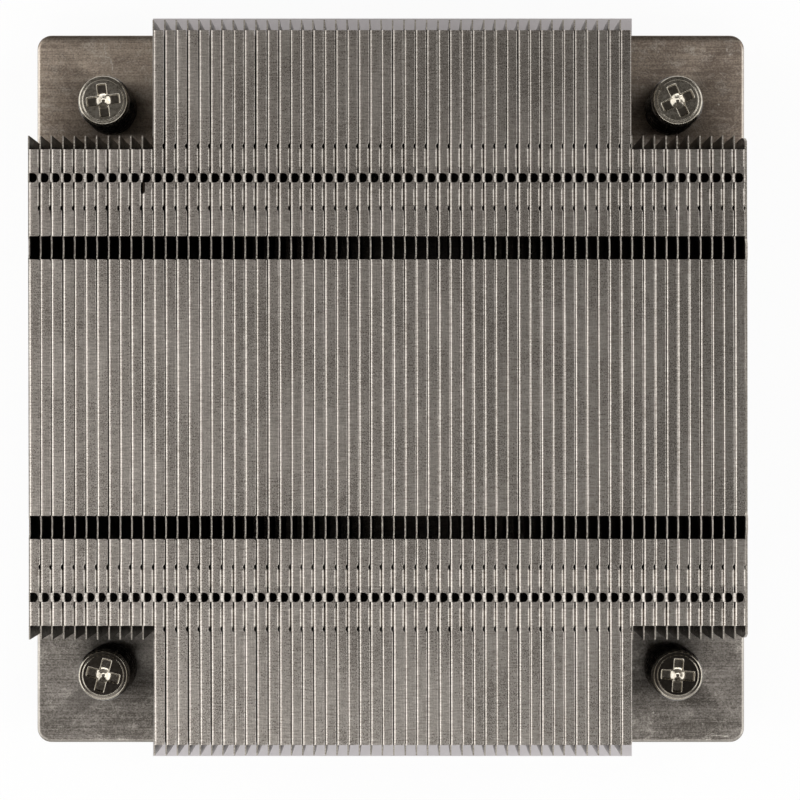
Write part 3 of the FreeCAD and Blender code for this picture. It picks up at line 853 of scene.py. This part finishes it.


# Studio: a pale floor under the screw tips, a grey card under the object that stands in for shade on the
# floor, soft lamps on both sides and in front, and a dim sky above

studio = {
    "floorSize": 12,        # m
    "floorWhite": 0.93,     # share of plain white in what the camera sees of the floor
    "sky": (0.06, 0.22, 0.6),   # at the horizon, high up, and the share that is left straight above
    "glow": 0.3,            # low in the sky behind the object, for views from the front
    # where a lamp stands, as azimuth and height in degrees and metres away, its breadth and length, its watts
    "lamps": [
        ("left", 180, 38, 1.0, 1.2, 0.9, 7.4),
        ("right", 0, 40, 1.0, 1.2, 0.9, 6.3),
        ("front", 270, 61, 1.1, 0.9, 0.5, 4.0),
    ],
    # a grey card under the object, painted shade for the floor seen between the ends of the fins
    "shadeCardWidth": (-32.5, 32.9),     # mm, left and right edge
    "shadeCardLength": (-50.1, 50.65),   # front and back edge
    "shadeCardLevel": 0.25,      # above the floor
}


# A flat rectangular stage piece, from its edges and its level
def stagePiece(name, left, right, front, back, level, material):
    mesh = bpy.data.meshes.new(name)
    around = ((left, front), (right, front), (right, back), (left, back))
    mesh.from_pydata([(x, y, level) for x, y in around], [], [(0, 1, 2, 3)])
    mesh.materials.append(material)
    piece = bpy.data.objects.new(name, mesh)
    bpy.context.scene.collection.objects.link(piece)


# Matt paper with faint fibres, clear from below so that the underside can be looked at. The camera and
# mirrors see it mixed with a share of plain white, which keeps the rest of the object's shadow.
def mattPaper(name, fibreSize, dark, light, white):
    material, tree = newMaterial(name)
    tone = sumOfGrains(tree, [(grain(tree, (fibreSize,) * 3, detail=3), 0, 1)])
    colour = layColours(tree, dark, [(tone, light)])
    finish = {"Base Color": colour, "Roughness": 0.9, "Specular IOR Level": 0.1}
    surface = addNode(tree, "BsdfPrincipled", finish)
    if white:
        seen = 0
        for ray in ("Is Camera Ray", "Is Glossy Ray", "Is Transmission Ray"):
            seen = addNode(tree, "Math", [seen, addNode(tree, "LightPath", output=ray)], operation="MAXIMUM")
        share = addNode(tree, "Math", [seen, white], operation="MULTIPLY")
        glow = addNode(tree, "Emission", {"Color": "ffffff", "Strength": 1})
        surface = addNode(tree, "MixShader", [share, surface, glow])
    below = addNode(tree, "NewGeometry", output="Backfacing")
    surface = addNode(tree, "MixShader", [below, surface, addNode(tree, "BsdfTransparent")])
    addNode(tree, "OutputMaterial", {"Surface": surface})
    return material


# The sky: dim at the horizon, brighter high up, dimmer again straight above, brighter on the left, darker at
# the back but for a low glow there, and white below the horizon, where only a view from below can see it
def makeSky():
    world = bpy.data.worlds.new("studio")
    bpy.context.scene.world = world
    world.use_nodes = True
    tree = world.node_tree
    tree.nodes.clear()
    direction = addNode(tree, "TexCoord", output="Generated")
    x, y, z = [addNode(tree, "SeparateXYZ", [direction], axis) for axis in "XYZ"]
    horizon, high, zenith = studio["sky"]
    strength = addNode(tree, "MapRange", [z, 0.1, 0.5, horizon, high])
    for source in ([z, 0.93, 0.985, 1, zenith], [x, -0.2, 0.2, 1.3, 0.75], [y, 0.1, 0.5, 1, 0.35]):
        share = addNode(tree, "MapRange", source)
        strength = addNode(tree, "Math", [strength, share], operation="MULTIPLY")
    atBack = addNode(tree, "MapRange", [y, 0.4, 0.8, 0, studio["glow"]])
    low = addNode(tree, "MapRange", [z, 0.5, 0.62, 1, 0])
    glow = addNode(tree, "Math", [atBack, low], operation="MULTIPLY")
    below = addNode(tree, "MapRange", [z, 0, -0.01, 0, 0.9])
    for source in (glow, below):
        strength = addNode(tree, "Math", [strength, source], operation="MAXIMUM")
    background = addNode(tree, "Background", {"Color": "fff8f1", "Strength": strength})
    addNode(tree, "OutputWorld", {"Surface": background})


# The floor, the grey card of painted shade, the sky and the lamps, each lamp turned to the middle of the
# object
def makeStudio():
    s = studio
    half = s["floorSize"] / 2
    level = min(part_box("screw_" + corner)[0].z for corner in corners)
    floor = mattPaper("matt_white_paper", 1.5, "f6f6f5", "fafaf9", s["floorWhite"])
    stagePiece("floor", -half, half, -half, half, level, floor)
    # the grey card is painted shade: it darkens the floor seen between the ends of the fins
    shade_card = mattPaper("grey_card_painted_shade", 0.8, "d3cfd1", "d8d4d6", 0)
    edges = [value * mm for value in s["shadeCardWidth"] + s["shadeCardLength"]]
    stagePiece("shade_card", *edges, level + s["shadeCardLevel"] * mm, shade_card)
    makeSky()

    for name, azimuth, height, distance, width, length, power in s["lamps"]:
        lamp = bpy.data.lights.new(name, "AREA")
        lamp.shape = "RECTANGLE"
        lamp.size, lamp.size_y = width, length
        lamp.energy = power
        holder = bpy.data.objects.new(name, lamp)
        a, h = math.radians(azimuth), math.radians(height)
        direction = Vector((math.cos(h) * math.cos(a), math.cos(h) * math.sin(a), math.sin(h)))
        holder.location = direction * distance
        holder.rotation_euler = (math.pi / 2 - h, 0, a + math.pi / 2)
        bpy.context.scene.collection.objects.link(holder)


# The camera looks straight down from where the photograph was taken
camera = {"place": (1.24, -3.9, 554.5), "lens": 184.14, "sensor": 36, "shift": 0.0223}


def makeCamera():
    data = bpy.data.cameras.new("camera")
    data.lens = camera["lens"]
    data.sensor_width = camera["sensor"]
    data.shift_y = camera["shift"]
    data.clip_start, data.clip_end = 0.01, 20
    holder = bpy.data.objects.new("camera", data)
    holder.location = [value * mm for value in camera["place"]]
    bpy.context.scene.collection.objects.link(holder)
    bpy.context.scene.camera = holder


makeStudio()
makeCamera()
bpy.context.scene.view_settings.view_transform = "Standard"
print("studio done")
